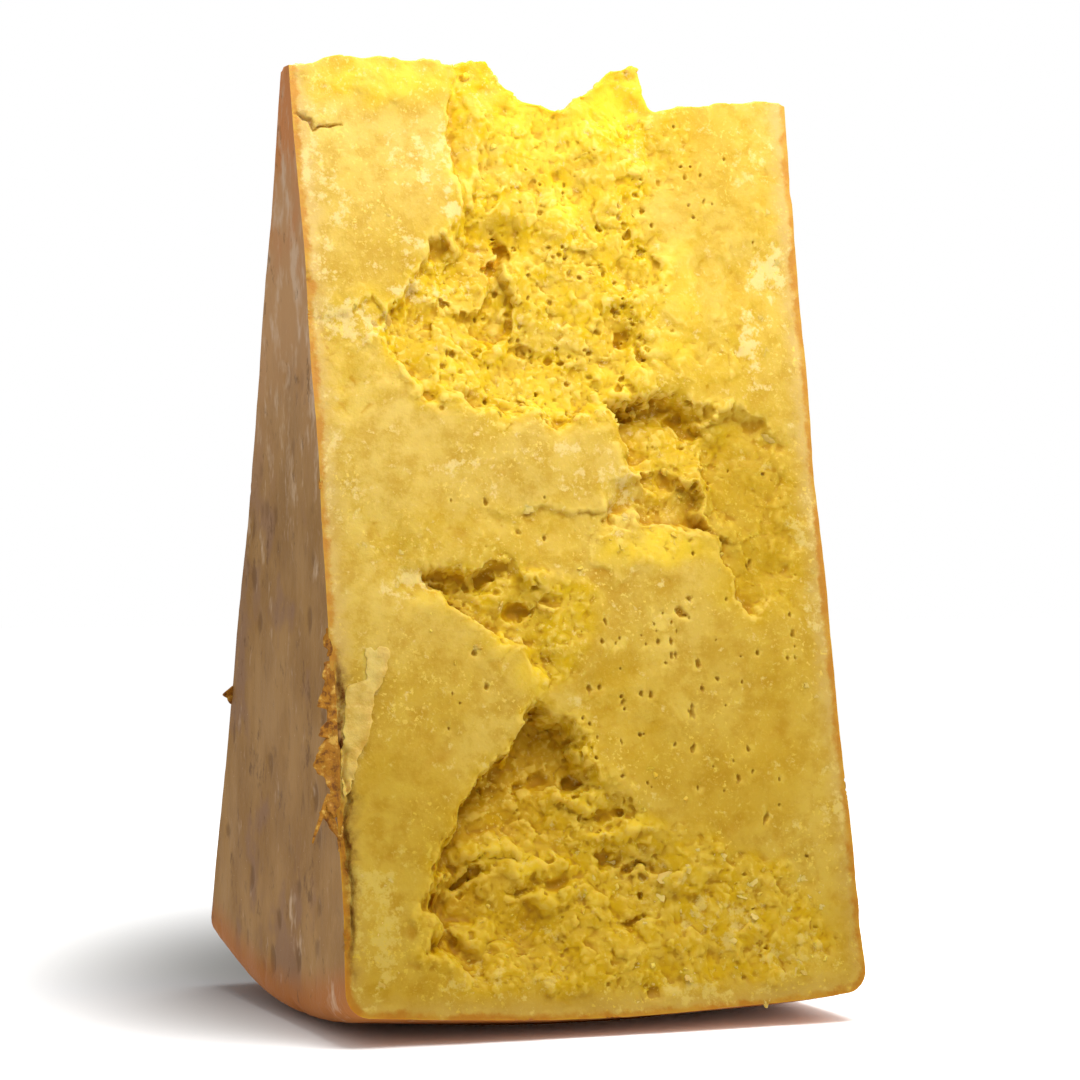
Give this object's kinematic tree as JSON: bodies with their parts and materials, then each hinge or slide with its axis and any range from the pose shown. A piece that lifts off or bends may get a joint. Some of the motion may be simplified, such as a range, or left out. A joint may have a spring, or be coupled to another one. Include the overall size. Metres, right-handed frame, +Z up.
{
  "type": "aged hard cheese chunk",
  "caption": "Chunk of aged hard cheese, a thick wedge of a wheel standing on its rounded heel, with a craggy broken front face, rind on both sides and a jagged broken tip.",
  "frame": {"origin": "middle of the small flat patch under the heel that the chunk stands on, straight below the wheel's axis", "axes": "+Z up towards the broken tip, +X from the left rind to the right rind along the wheel's axis, -Y towards the broken front face"},
  "size_m": [0.11, 0.1047, 0.1975],
  "materials": {
    "cheese": "matte, slightly waxy yellow paste with a dull brown rind"
  },
  "bodies": {
    "root": {"cheese_chunk": "cheese"}
  },
  "joints": []
}
